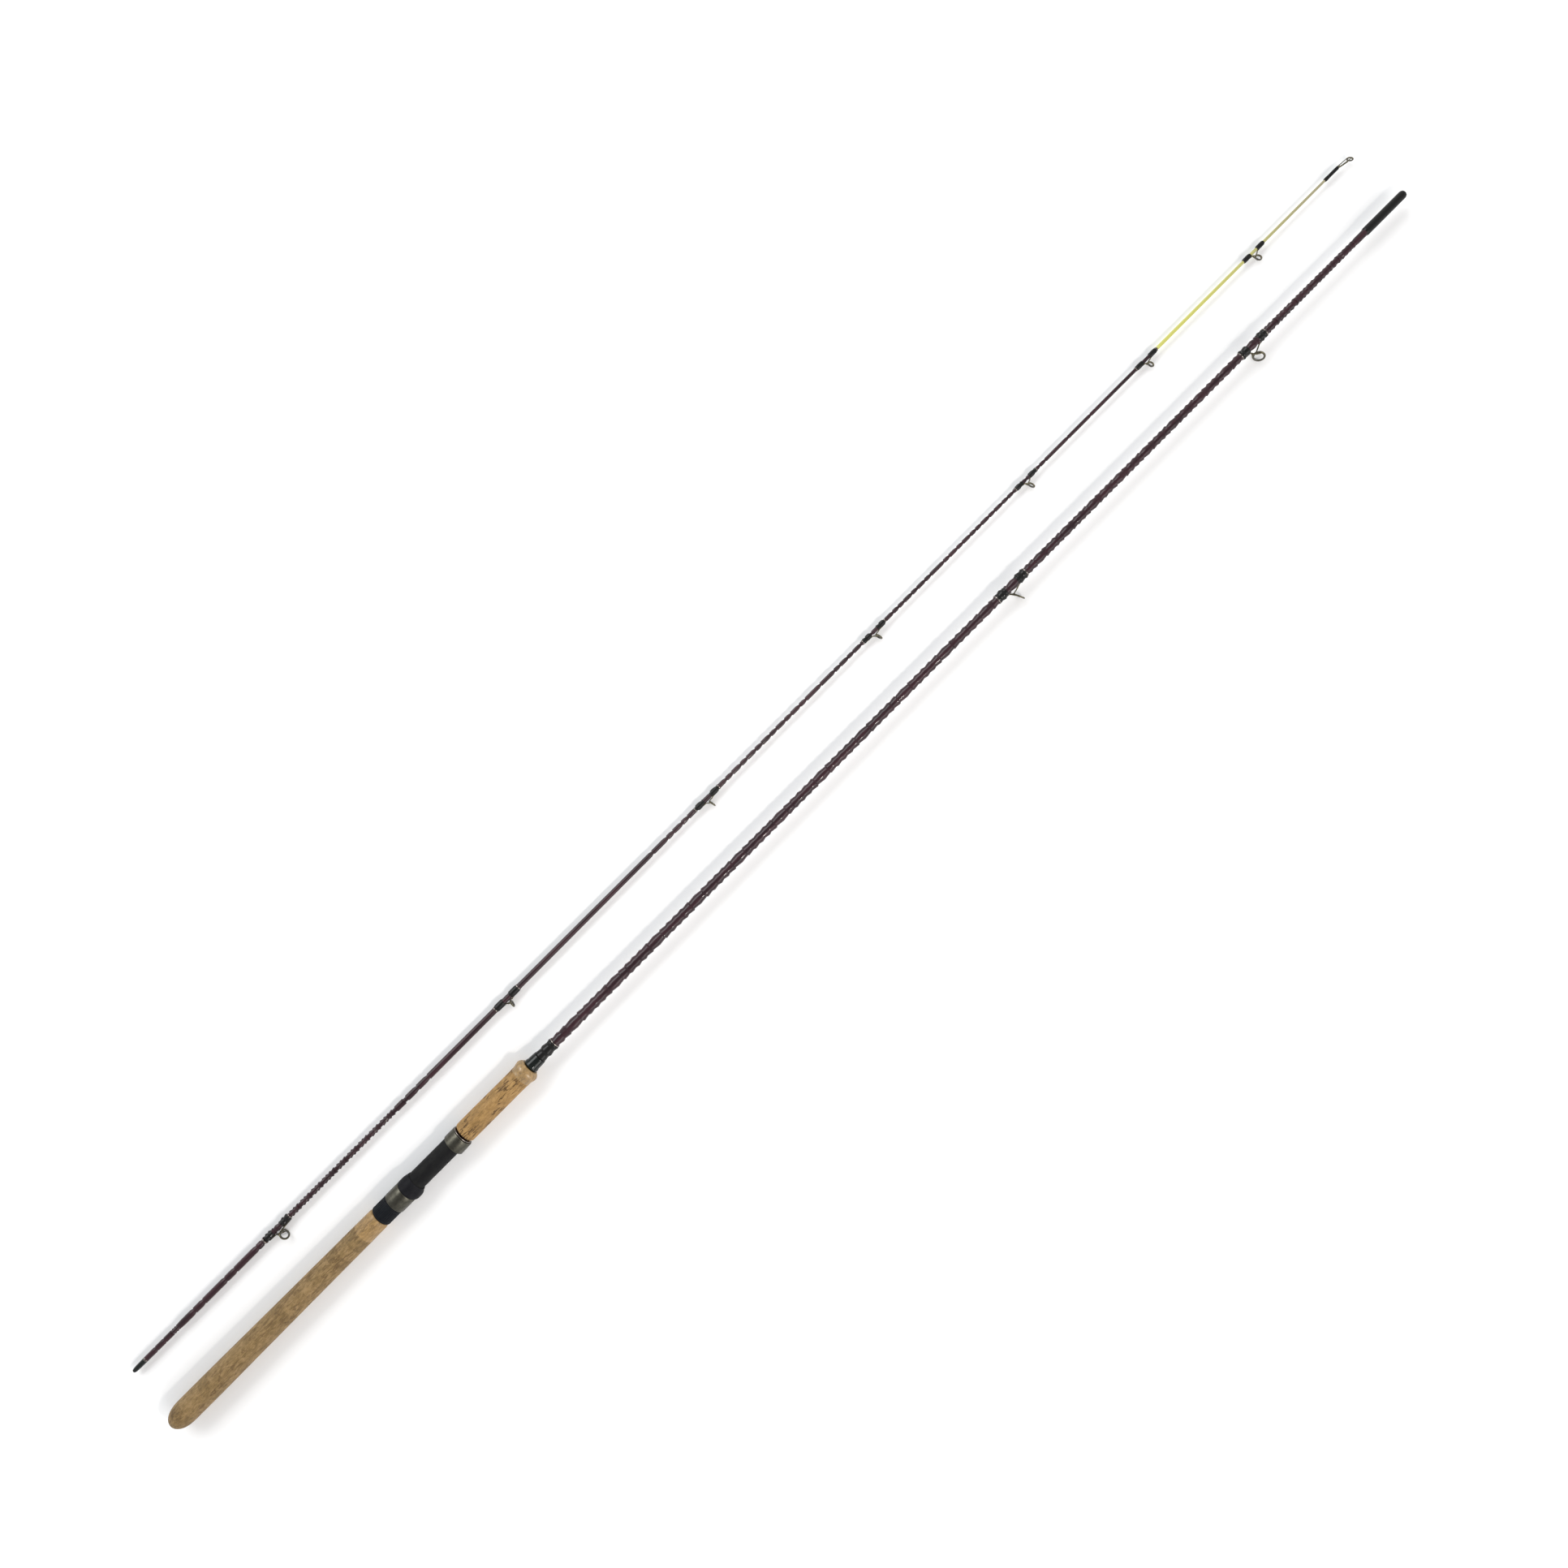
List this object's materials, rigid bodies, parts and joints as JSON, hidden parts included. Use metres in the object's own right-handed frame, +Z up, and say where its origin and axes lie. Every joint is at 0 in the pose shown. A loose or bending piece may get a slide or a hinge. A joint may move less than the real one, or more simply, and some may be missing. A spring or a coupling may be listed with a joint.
{
  "type": "spinning rod",
  "caption": "Fishing rod taken apart into its butt and tip sections, with a cork handle, screw reel seat, leaning line guides and a push-in quiver tip",
  "frame": {"origin": "Bottom centre of the bounding box: on the surface the sections lie on, half way along and half way across the layout", "axes": "+X runs along the rod from the butt cap towards the tip, +Z is up from the surface, and the line guides point towards -Y"},
  "size_m": [1.694, 0.086, 0.0252],
  "materials": {
    "cork": "natural cork, matt, fine pits and streaks",
    "cork_trim": "denser pale cork, matt",
    "blank": "clear-coated carbon, dark plum brown, glossy",
    "quiver_yellow": "fluorescent yellow paint under clear coat",
    "seat_black": "near-black moulded plastic, satin",
    "arbor_foam": "dense foam",
    "hood_metal": "gun-metal anodised, brushed round",
    "trim_silver": "bright silver",
    "check_black": "glossy black",
    "thread_black": "black thread under clear coat",
    "guide_steel": "dull grey stainless wire",
    "guide_ceramic": "polished dark grey ceramic"
  },
  "bodies": {
    "butt_section": {"butt_cap": "cork", "rear_grip": "cork", "rear_grip_front_ring": "cork_trim", "butt_blank": "blank", "seat_barrel": "seat_black", "seat_arbors": "arbor_foam", "fixed_hood_shell": "hood_metal", "fixed_hood_liner": "seat_black", "seat_trim_ring": "trim_silver", "fore_grip": "cork", "fore_grip_front_ring": "cork_trim", "winding_check": "check_black", "handle_wrap": "thread_black", "butt_wrap_trims": "trim_silver", "ferrule_wrap": "thread_black", "guide_1_frame": "guide_steel", "guide_1_ring": "guide_ceramic", "guide_1_wraps": "thread_black", "guide_2_frame": "guide_steel", "guide_2_ring": "guide_ceramic", "guide_2_wraps": "thread_black"},
    "sliding_hood": {"hood_band": "hood_metal", "hood_liner": "seat_black"},
    "nut": {"lock_nut": "seat_black"},
    "tip_section": {"ferrule_plug": "check_black", "ferrule_ring": "trim_silver", "tip_blank": "blank", "tip_wrap_trims": "trim_silver", "guide_3_frame": "guide_steel", "guide_3_ring": "guide_ceramic", "guide_3_wraps": "thread_black", "guide_4_frame": "guide_steel", "guide_4_ring": "guide_ceramic", "guide_4_wraps": "thread_black", "guide_5_frame": "guide_steel", "guide_5_ring": "guide_ceramic", "guide_5_wraps": "thread_black", "guide_6_frame": "guide_steel", "guide_6_ring": "guide_ceramic", "guide_6_wraps": "thread_black", "guide_7_frame": "guide_steel", "guide_7_ring": "guide_ceramic", "guide_7_wraps": "thread_black", "guide_8_frame": "guide_steel", "guide_8_ring": "guide_ceramic", "guide_8_wraps": "thread_black"},
    "quiver": {"quiver_tip": "quiver_yellow", "tip_top_frame": "guide_steel", "tip_top_ring": "guide_ceramic", "tip_top_wrap": "thread_black", "guide_9_frame": "guide_steel", "guide_9_ring": "guide_ceramic", "guide_9_wraps": "thread_black"}
  },
  "joints": [
    {"name": "hood_slide", "type": "slide", "parent": "butt_section", "child": "sliding_hood", "axis": [1, 0, 0], "range_m": [0, 0.024]},
    {"name": "nut_turn", "type": "hinge", "parent": "sliding_hood", "child": "nut", "pos_m": [-0.551, -0.02465, 0.0126], "axis": [1, 0, 0], "range_deg": [0, 4321]},
    {"name": "tip_section_carry", "type": "slide", "parent": "butt_section", "child": "tip_section", "axis": [0.9996, -0.028, 0.0035], "range_m": [0, 2.2689]},
    {"name": "quiver_pull", "type": "slide", "parent": "tip_section", "child": "quiver", "axis": [1, 0, 0], "range_m": [0, 0.05]}
  ],
  "couplings": [
    {"joint": "nut_turn", "follows": "hood_slide", "rad_per_m": 3141.6}
  ]
}
